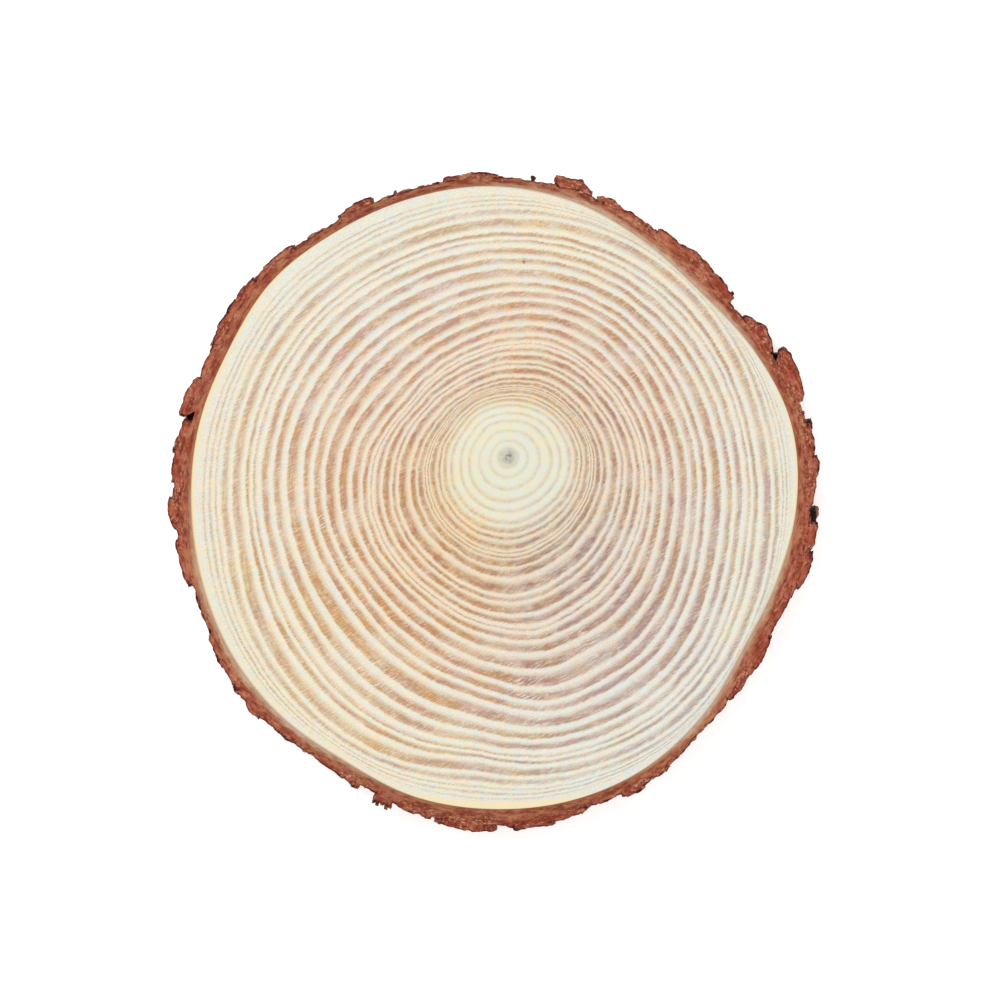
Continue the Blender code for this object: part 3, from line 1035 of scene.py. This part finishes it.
def cut_box(arc, thick, tall, column):
    """A box one unit long each way, cut up as finely as a plate of this size needs."""
    shape = bmesh.new()
    bmesh.ops.create_cube(shape, size=1.0)
    cut_edges(shape, 0, max(1, round(arc / column)))
    cut_edges(shape, 1, max(2, round(thick / BARK_LAYER)))
    cut_edges(shape, 2, max(3, round(tall / BARK_ROW)))
    return shape


def make_plate(collection, piece, tone):
    """One bark plate bent round the wood: a box with ragged sides, ends and layers.

    Each point of the box has a place across the plate, outwards through it and up it, from 0 to 1.
    The values that it returns are each point's depth over the wood and how far it lies inside the
    bark's outline, both in mm, its tone, and its painted shade: 1 where a flake ends, and up to the
    piece's shade at its top.
    """
    first, last = piece.span
    low, high = piece.heights
    arc = math.radians(last - first) * MEAN_RIM
    thick = piece.depth_at((first + last) / 2) - PLATE_ROOT
    shape = cut_box(arc, thick, high - low, piece.column)
    sawn_top = high >= THICKNESS
    sawn_foot = low <= 0.0
    least = HEIGHT_STEP * (1.0 + HEIGHT_STEPS * tone)
    beside = (depth_near(first - BESIDE), depth_near(last + BESIDE))
    seed = Vector((first * 7.3, 40.0 * tone, last))
    values = []
    for vertex in shape.verts:
        across = 0.5 - vertex.co.x
        out = vertex.co.y + 0.5
        up = vertex.co.z + 0.5
        height = low + up * (high - low)
        from_side = min(across, 1.0 - across) * arc
        from_end = min(
            1.0 if sawn_foot else up * (high - low),
            1.0 if sawn_top else (1.0 - up) * (high - low),
        )
        jump = round(out * thick / BARK_LAYER) * LAYER_JUMP
        side = LAST_SIDE if across > 0.5 else FIRST_SIDE
        side_key = Vector((height / MM * KNOBS, jump, side)) + seed
        end_key = Vector((across * arc / MM * KNOBS, jump, ENDS)) + seed
        shift = noise.noise(side_key) * RAGGED * fade(from_side, RAGGED_REACH)
        degrees = first + across * (last - first) + math.degrees(shift / MEAN_RIM)
        if not (sawn_foot and sawn_top):
            height += noise.noise(end_key) * RAGGED_ENDS * fade(from_end, RAGGED_REACH)
            free_end = -up if sawn_foot else 1.0 - up
            height += ROUNDED_CORNER * free_end * (2.0 * across - 1.0) ** 4
        spot = Vector((math.radians(degrees) * MEAN_RIM / MM, height / MM, 0.0))
        relief, gone, flake_edge_shade = relief_at(spot, seed)
        plain = piece.depth_at(degrees) - OUTLINE_TRIM
        outside = plain + relief
        if sawn_top:
            crest = Vector((spot.x, THICKNESS / MM, 0.0))
            outside = min(outside, plain + CREST_SHARE * relief_at(crest, seed)[0])
        outside -= SHED_RIM * (fade(from_side, SHED_SIDE_REACH) + fade(from_end, SHED_END_REACH))
        inside = PLATE_ROOT
        if piece.lip and across > LOOSE_FROM:
            opened = (across - LOOSE_FROM) / (1.0 - LOOSE_FROM)
            inside += opened * max(0.0, outside - piece.lip * MM - PLATE_ROOT)
        depth = inside + out * (outside - inside)
        height = max(height, least)
        if sawn_top and up > 0.999:
            height = sawn_height(spot, depth, tone, least)
        reach = wood_radius(degrees) + depth
        turn = math.radians(degrees)
        vertex.co = (reach * math.cos(turn), reach * math.sin(turn), height)
        # Painted shade goes along the bark's outline and, beside a taller neighbour, along the plate's
        # side.
        rim = min(depth_near(degrees) - OUTLINE_TRIM, outside) - depth
        if depth > beside[0 if across < 0.5 else 1] - SEAM_DEPTH:
            rim = min(rim, from_side)
        # Broken plates get painted shade on their tops, fading out halfway down.
        top_shade = piece.shade * max(0.0, 2.0 * up - 1.0)
        flake_tone = (tone + FLAKE_TONE * gone) % 1.0
        values.append((depth / MM, rim / MM, flake_tone, max(flake_edge_shade, top_shade)))
    mesh = bpy.data.meshes.new(piece.name)
    shape.to_mesh(mesh)
    shape.free()
    collection.objects.link(bpy.data.objects.new(piece.name, mesh))
    return values


def make_inner_bark():
    """The tube of living bark next to the wood."""
    columns = TUBE_COLUMNS
    heights = np.linspace(0.0, THICKNESS, TUBE_HEIGHTS)
    depths = np.linspace(SEAM, INNER_BARK, TUBE_LAYERS + 1)[1:-1]
    degrees = np.arange(columns) * 360.0 / columns
    turn = np.radians(degrees)
    edge = wood_radius(degrees)
    outline = [(SEAM, height) for height in heights[::-1]]
    outline += [(depth, 0.0) for depth in depths]
    outline += [(INNER_BARK, height) for height in heights]
    outline += [(depth, THICKNESS) for depth in depths[::-1]]
    points = []
    values = []
    for depth, height in outline:
        for number in range(columns):
            reach = edge[number] + depth
            points.append((reach * math.cos(turn[number]), reach * math.sin(turn[number]), height))
            rim = depth_near(degrees[number]) - OUTLINE_TRIM - depth
            values.append((depth / MM, rim / MM, 0.5, 0.0))
    faces = []
    for row in range(len(outline)):
        here = row * columns
        there = (row + 1) % len(outline) * columns
        for column in range(columns):
            after = (column + 1) % columns
            faces.append((here + column, there + column, there + after, here + after))
    mesh = bpy.data.meshes.new("bark_plates")
    mesh.from_pydata(points, [], faces)
    return new_object("bark_plates", mesh), values


def lower_depth(share, degrees):
    """The depth of a plate below others, which still covers the inner bark everywhere."""
    return max(share * depth_near(degrees), INNER_BARK + SHED_RIM + ROUGHNESS)


def bark_pieces(rng):
    """Every plate and splinter. The draws settle what the photo doesn't show."""
    for number, plate in enumerate(UPPER_PLATES):
        heights = (max(0.0, rng.uniform(*UPPER_FOOT)), THICKNESS)
        depth_at = partial(plate_depth, plate)
        yield Piece(f"upper_{number}", (plate.first, plate.last), heights, depth_at, plate.lip)
    for number, plate in enumerate(BROKEN_PLATES):
        heights = (0.0, rng.uniform(*BROKEN_TOP))
        depth_at = partial(plate_depth, plate)
        yield Piece(f"broken_{number}", (plate.first, plate.last), heights, depth_at, shade=1.0)
    for number in range(LOWER_PLATES):
        middle = (number + rng.uniform(-LOWER_PLACE_DRIFT, LOWER_PLACE_DRIFT)) * 360.0 / LOWER_PLATES
        half = rng.uniform(*LOWER_WIDTH) / 2
        depth_at = partial(lower_depth, rng.uniform(*LOWER_DEPTH_SHARE))
        heights = (0.0, rng.uniform(*LOWER_TOP))
        span = (middle - half, middle + half)
        yield Piece(f"lower_{number}", span, heights, depth_at, column=LOWER_COLUMN)
    for number, splinter in enumerate(SPLINTERS):
        heights = (rng.uniform(*SPLINTER_FOOT), THICKNESS)
        span = (splinter.angle - splinter.width / 2, splinter.angle + splinter.width / 2)
        depth_at = partial(plate_depth, Plate(*span, (splinter.depth,)))
        yield Piece(f"splinter_{number}", span, heights, depth_at)


def make_plates(collection):
    """Makes every plate and splinter. Gives their points and the values at each."""
    rng = random.Random(SEED)
    points = []
    values = []
    for piece in bark_pieces(rng):
        values += make_plate(collection, piece, rng.random())
        points += [vertex.co.copy() for vertex in collection.objects[piece.name].data.vertices]
    return points, values


# The bark's patterns. Streaks lie flat along the bark, lumps don't: these have a number to a metre,
# a detail and a roughness.
BARK_STREAKS = {
    "layers": Streaks(620, 2.3, 3.0, 0.65),
    "flecks": Streaks(1250, 3.6, 2.0, 0.65),
    "blotches": Streaks(360, 1.3, 4.0, 0.65),
}
BARK_LUMPS = {"lumps": (700, 4.0, 0.65), "crumbs": (1900, 4.0, 0.75), "fine": (3000, 2.0, 0.5)}

# Where the bark crumbles: in broad patches, and more so further out. Depths are in mm.
PATCH_LUMPS = 230
PATCH_SPAN = (0.42, 0.6)
PATCH_SHARE = 0.25
CRUMBLY_SPAN = (0.5, 1.7)
CRUMBLY_SHARE = 0.15

# The sawn bark from the wood outwards, where the change at the wood is narrow at hard edges and wide
# at soft ones, and the hues that vary it, less so next to the wood.
INNER_HARD, INNER_SOFT = (164, 104, 70), (206, 172, 142)
MIDDLE_BARK = (170, 100, 72)
OUTER_BARK = (168, 86, 63)
INNER_WIDTHS = (0.3, 1.1)
OUTER_SPAN = (0.9, 2.4)
HUES_FROM = 0.1
HUES_SHARE = 0.3
FACE_HUES = {
    "lumps": Hues(0.38, 0.62, (0.96, 0.78, 0.90), (1.06, 1.18, 1.08)),
    "blotches": Hues(0.37, 0.63, (0.70, 0.46, 0.42), (1.22, 1.46, 1.50)),
    "tone": Hues(0.1, 0.9, (0.92, 0.78, 0.78), (1.08, 1.18, 1.18)),
}
DARK_BARK_HUE = (0.85, 0.86, 0.84, 1.0)

# Coats of colour over the bark: the pattern that one follows, the span of the pattern over which it
# comes in, its strength, its colour, and the pattern that it is kept to.
Coat = namedtuple("Coat", "pattern start end strength colour where", defaults=(None,))
FACE_COATS = [
    Coat("layers", 0.52, 0.64, 0.80, (118, 50, 36), "off_wood"),
    Coat("layers", 0.44, 0.32, 0.60, (192, 120, 84), "off_wood"),
    Coat("crumbs", 0.46, 0.32, 1.0, (66, 30, 28), "crumbly"),
    Coat("crumbs", 0.53, 0.68, 0.9, (208, 146, 118), "crumbly"),
    Coat("flecks", 0.56, 0.70, 0.9, (222, 170, 142), "crumbly"),
]
SIDE_DARK, SIDE_PALE = (118, 68, 50), (160, 106, 76)
SIDE_TONES = (0.1, 0.9)
SIDE_COATS = [
    Coat("lumps", 0.42, 0.66, 0.55, (158, 126, 104)),
    Coat("layers", 0.45, 0.7, 0.6, (96, 54, 42)),
    Coat("crumbs", 0.44, 0.3, 0.8, (72, 42, 36)),
    Coat("fine", 0.58, 0.75, 0.5, (190, 146, 114)),
]

# Painted shade along the rim of the sawn face and in seams between plates, and on the ends and
# ledges of flakes on the side.
RIM_SHADE_COLOUR = (60, 28, 29)
RIM_SPAN = (0.04, 0.28)
RIM_LUMPS = (0.45, 0.59)
RIM_SHARE = 0.1
LEDGE_SHADE_COLOUR = (50, 25, 21)
FLAKE_END_SPAN = (0.3, 1.0)
FLAKE_SHADE_STRENGTH = 0.75

# What counts as sawn or as a ledge with painted shade: how far up a face looks, and how near it is to
# a sawn face.
LEVEL_SPAN = (0.5, 0.8)
LEDGE_SPAN = (0.15, 0.6)
CUT_SPAN = (0.3, 0.7)

BARK_BUMP = Bump(0.8, 0.12 * MM)
CRUMBS_LIFT = 1.4
BARK_ROUGHNESS = (0.95, 0.8)
BARK_GLOSS = 0.15


def bark_patterns(tree, place, depth):
    """The bark's patterns by name."""
    patterns = {name: streaks(tree, place, depth, kind) for name, kind in BARK_STREAKS.items()}
    for name, (lumps, detail, roughness) in BARK_LUMPS.items():
        patterns[name] = cloud(tree, place, lumps, detail=detail, roughness=roughness)
    patterns["tone"] = value_of(tree, "tone")
    patches = ramp(tree, cloud(tree, place, PATCH_LUMPS), *PATCH_SPAN, PATCH_SHARE, 1.0)
    outwards = ramp(tree, depth, *CRUMBLY_SPAN, CRUMBLY_SHARE, 1.0)
    patterns["crumbly"] = times(tree, outwards, patches)
    return patterns


def coated(tree, colour, patterns, coats):
    for coat in coats:
        share = ramp(tree, patterns[coat.pattern], coat.start, coat.end, 0.0, coat.strength)
        if coat.where:
            share = times(tree, share, patterns[coat.where])
        colour = blend(tree, share, colour, rgba(coat.colour))
    return colour


def sawn_bark(tree, depth, patterns):
    """The colour of the bark where it is sawn, with painted shade at its rim and seams."""
    soft = value_of(tree, "soft")
    width = between(tree, soft, *INNER_WIDTHS)
    inner = blend(tree, soft, rgba(INNER_HARD), rgba(INNER_SOFT))
    face = blend(tree, ramp(tree, depth, 0.0, width), inner, rgba(MIDDLE_BARK))
    face = blend(tree, ramp(tree, depth, *OUTER_SPAN), face, rgba(OUTER_BARK))
    off_wood = ramp(tree, depth, HUES_FROM, width, HUES_SHARE, 1.0)
    for name, hues in FACE_HUES.items():
        face = blend(tree, off_wood, face, hued(tree, patterns[name], hues), "MULTIPLY")
    face = blend(tree, value_of(tree, "dark"), face, DARK_BARK_HUE, "MULTIPLY")
    face = coated(tree, face, {**patterns, "off_wood": off_wood}, FACE_COATS)
    # Painted shade along the outline of the sawn bark and in the seams between plates, broken up in
    # patches.
    near_rim = ramp(tree, value_of(tree, "rim"), *RIM_SPAN, 1.0, 0.0)
    broken = ramp(tree, patterns["lumps"], *RIM_LUMPS, 1.0, RIM_SHARE)
    return blend(tree, times(tree, near_rim, broken), face, rgba(RIM_SHADE_COLOUR))


def flaked_bark(tree, ledge_shade, patterns):
    """The colour of the bark's natural outside, with painted shade at flake edges and on ledges."""
    tones = ramp(tree, patterns["tone"], *SIDE_TONES)
    side = blend(tree, tones, rgba(SIDE_DARK), rgba(SIDE_PALE))
    side = coated(tree, side, patterns, SIDE_COATS)
    # Painted shade at the edges of flakes and on ledges.
    flake_edge_shade = ramp(tree, value_of(tree, "flake_edge_shade"), *FLAKE_END_SPAN, 0.0, FLAKE_SHADE_STRENGTH)
    return blend(tree, maths(tree, "MAXIMUM", flake_edge_shade, ledge_shade), side, rgba(LEDGE_SHADE_COLOUR))


def bark_material():
    material = new_material("bark")
    tree = material.node_tree
    coordinates = add_node(tree, "ShaderNodeTexCoord", {})
    depth = value_of(tree, "depth")
    patterns = bark_patterns(tree, coordinates.outputs["Object"], depth)
    up = add_node(tree, "ShaderNodeSeparateXYZ", {0: coordinates.outputs["Normal"]}).outputs["Z"]
    level = ramp(tree, maths(tree, "ABSOLUTE", up), *LEVEL_SPAN)
    cut = ramp(tree, value_of(tree, "cut"), *CUT_SPAN)
    sawn = times(tree, level, cut)
    uncut = maths(tree, "SUBTRACT", 1.0, cut)
    # Faces that look up but lie below the sawn face get painted shade.
    ledge_shade = times(tree, ramp(tree, up, *LEDGE_SPAN), uncut)
    side = flaked_bark(tree, ledge_shade, patterns)
    colour = blend(tree, sawn, side, sawn_bark(tree, depth, patterns))
    lift = times(tree, patterns["crumbly"], CRUMBS_LIFT)
    lifts = times(tree, patterns["crumbs"], lift)
    height = plus(tree, patterns["layers"], lifts)
    roughness = ramp(tree, patterns["layers"], *NOISE_SPAN, *BARK_ROUGHNESS)
    finish_surface(tree, colour, height, BARK_BUMP, roughness, BARK_GLOSS)
    return material


def make_bark():
    plates = bpy.data.collections.new("plates")
    bpy.context.scene.collection.children.link(plates)
    points, values = make_plates(plates)
    bark, tube_values = make_inner_bark()
    points += [vertex.co.copy() for vertex in bark.data.vertices]
    values += tube_values
    fuse = bark.modifiers.new("fuse", "BOOLEAN")
    fuse.operation = "UNION"
    fuse.solver = "MANIFOLD"
    fuse.operand_type = "COLLECTION"
    fuse.collection = plates
    mesh = bpy.data.meshes.new_from_object(bark.evaluated_get(bpy.context.evaluated_depsgraph_get()))
    bark.modifiers.clear()
    bark.data = mesh
    mesh.name = bark.name
    for plate in list(plates.objects):
        bpy.data.objects.remove(plate)
    bpy.data.collections.remove(plates)

    tree = kdtree.KDTree(len(points))
    for number, point in enumerate(points):
        tree.insert(point, number)
    tree.balance()
    nearest = [values[tree.find(vertex.co)[1]] for vertex in mesh.vertices]
    for number, name in enumerate(("depth", "rim", "tone", "flake_edge_shade")):
        add_values(mesh, name, [value[number] for value in nearest])
    places = np.zeros(len(mesh.vertices) * 3)
    mesh.vertices.foreach_get("co", places)
    x, y, z = places.reshape(-1, 3).T
    degrees = np.degrees(np.arctan2(y, x))
    add_values(mesh, "soft", on_stretches(degrees, SOFT_EDGES))
    add_values(mesh, "dark", on_stretches(degrees, DARK_BARK))
    add_values(mesh, "cut", np.minimum(z, THICKNESS - z) < CUT_DEPTH)
    mesh.materials.clear()
    mesh.materials.append(bark_material())
    mesh.shade_smooth()
    mesh.set_sharp_from_angle(angle=math.radians(BARK_CREASE))
    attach(bark, "root")
    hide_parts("bark")


# The camera looks straight down from afar.
FIELD_WIDTH = 151.3 * MM
FIELD_MIDDLE = (0.98 * MM, 0.38 * MM)
CAMERA_ABOVE = 2.0
SENSOR_MM = 36.0
CLIP_START, CLIP_END = 0.05, 10.0

# An even white light all round with a broad soft window, over a floor that glows a little.
SKY_LIGHT = 0.74
WINDOW_LIGHT = 1.0
WINDOW_WIDTH = 40.0
WINDOW_TURN = (-32.0, -28.0, 0.0)
WHITE = (1.0, 1.0, 1.0, 1.0)
FLOOR_SIZE = 3.0
FLOOR_COLOUR = (0.93, 0.93, 0.93, 1.0)
FLOOR_GLOW = 0.53


def make_camera():
    data = bpy.data.cameras.new("camera")
    data.sensor_width = SENSOR_MM
    data.lens = SENSOR_MM * CAMERA_ABOVE / FIELD_WIDTH
    data.clip_start = CLIP_START
    data.clip_end = CLIP_END
    camera = new_object("camera", data)
    camera.location = (*FIELD_MIDDLE, THICKNESS + CAMERA_ABOVE)
    bpy.context.scene.camera = camera


def make_floor():
    bpy.ops.mesh.primitive_plane_add(size=FLOOR_SIZE)
    floor = bpy.context.object
    floor.name = "floor"
    material = new_material("floor")
    shader = material.node_tree.nodes["Principled BSDF"]
    shader.inputs["Base Color"].default_value = FLOOR_COLOUR
    shader.inputs["Roughness"].default_value = 1.0
    shader.inputs["Specular IOR Level"].default_value = 0.0
    shader.inputs["Emission Color"].default_value = WHITE
    shader.inputs["Emission Strength"].default_value = FLOOR_GLOW
    floor.data.materials.append(material)
    floor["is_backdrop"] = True


def make_light():
    world = bpy.data.worlds.new("studio")
    bpy.context.scene.world = world
    world.use_nodes = True
    background = world.node_tree.nodes["Background"]
    background.inputs["Color"].default_value = WHITE
    background.inputs["Strength"].default_value = SKY_LIGHT
    sun = bpy.data.lights.new("window", "SUN")
    sun.energy = WINDOW_LIGHT
    sun.angle = math.radians(WINDOW_WIDTH)
    lamp = new_object("window", sun)
    lamp.rotation_euler = [math.radians(turn) for turn in WINDOW_TURN]


make_camera()
make_floor()
make_light()
make_wood()
make_bark()

bpy.context.scene.view_settings.view_transform = "Standard"
sizes = {"cad": cad_box, "visual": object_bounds()}
{name: [list(corner) for corner in box] for name, box in sizes.items()}
